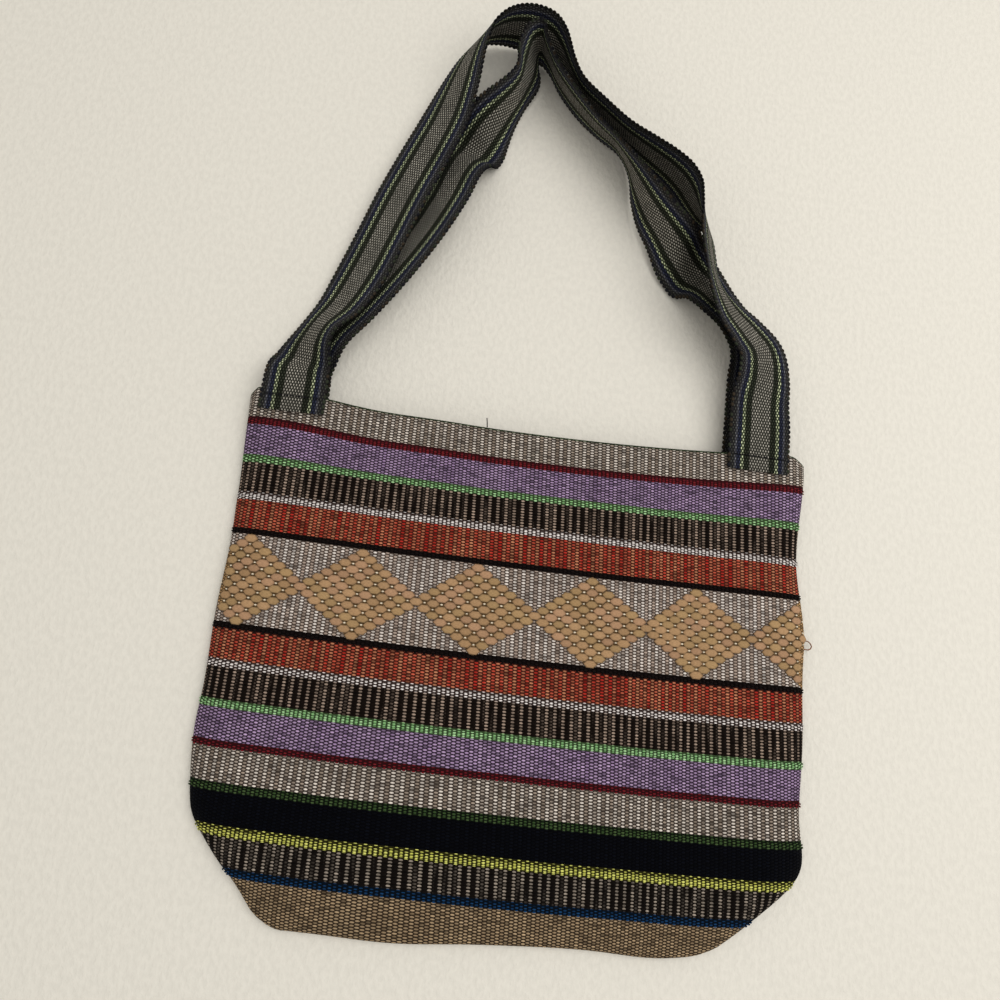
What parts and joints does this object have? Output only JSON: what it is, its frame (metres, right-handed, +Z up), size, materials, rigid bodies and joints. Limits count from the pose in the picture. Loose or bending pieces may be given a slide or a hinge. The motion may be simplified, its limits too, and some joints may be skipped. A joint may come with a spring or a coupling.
{
  "type": "woven shoulder bag",
  "caption": "Flat hand-woven shoulder bag with horizontal stripes and a diamond band, boxed base corners and soft woven handles flopped out above the open mouth.",
  "frame": {"origin": "on the underside of the back panel, below the middle of the bag's width and of the diamond band", "axes": "+Z up through the lying bag from back panel to front panel, +Y from the base fold towards the mouth and the handles, +X along the mouth to the right as seen from above"},
  "size_m": [0.34, 0.5565, 0.0464],
  "materials": {
    "striped_cloth": "warp-faced hand weave in stripes of grey, lavender, orange, black and tan, matt",
    "handle_webbing": "narrow woven band, grey middle between black, navy and yellow-green lines, matt",
    "thread": "dark sewing thread, matt"
  },
  "bodies": {
    "root": {"bag_body": "striped_cloth", "front_handle": "handle_webbing", "back_handle": "handle_webbing", "front_left_stitching": "thread", "front_right_stitching": "thread", "back_left_stitching": "thread", "back_right_stitching": "thread"}
  },
  "joints": []
}
